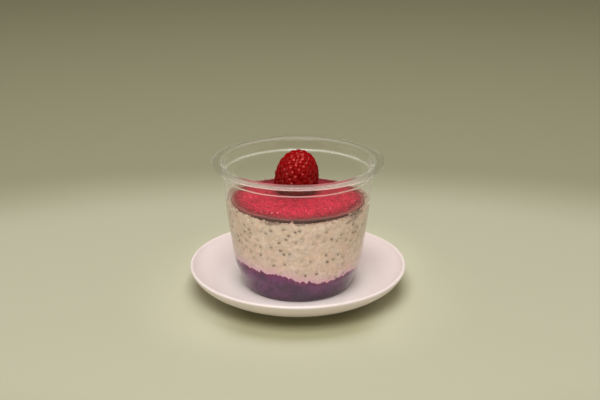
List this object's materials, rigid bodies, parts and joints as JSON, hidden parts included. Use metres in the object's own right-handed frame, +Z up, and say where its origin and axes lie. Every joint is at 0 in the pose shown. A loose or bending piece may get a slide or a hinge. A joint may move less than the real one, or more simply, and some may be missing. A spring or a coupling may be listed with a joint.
{
  "type": "layered overnight oats in a clear pot",
  "caption": "Overnight oats in layers, with a berry base, seeds, a thin chocolate disc, red raspberry powder and a raspberry, in a clear plastic pot on a round saucer.",
  "frame": {"origin": "centre of the saucer's foot, on the plane it stands on", "axes": "+Z up along the axis of the pot and the saucer, -Y towards the side that the picture shows"},
  "size_m": [0.1212, 0.1212, 0.0807],
  "materials": {
    "saucer": "smooth satin glaze",
    "clear_plastic": "clear, thin and glossy",
    "berry": "smooth, moist berry puree",
    "oats": "soft soaked oats with dark seeds",
    "chocolate": "satin dark chocolate",
    "powder": "dry and grainy",
    "raspberry": "moist, with small highlights"
  },
  "bodies": {
    "root": {"saucer": "saucer", "pot": "clear_plastic", "berry_layer": "berry", "oats_layer": "oats", "chocolate_disc": "chocolate", "raspberry_powder": "powder", "raspberry": "raspberry"}
  },
  "joints": []
}
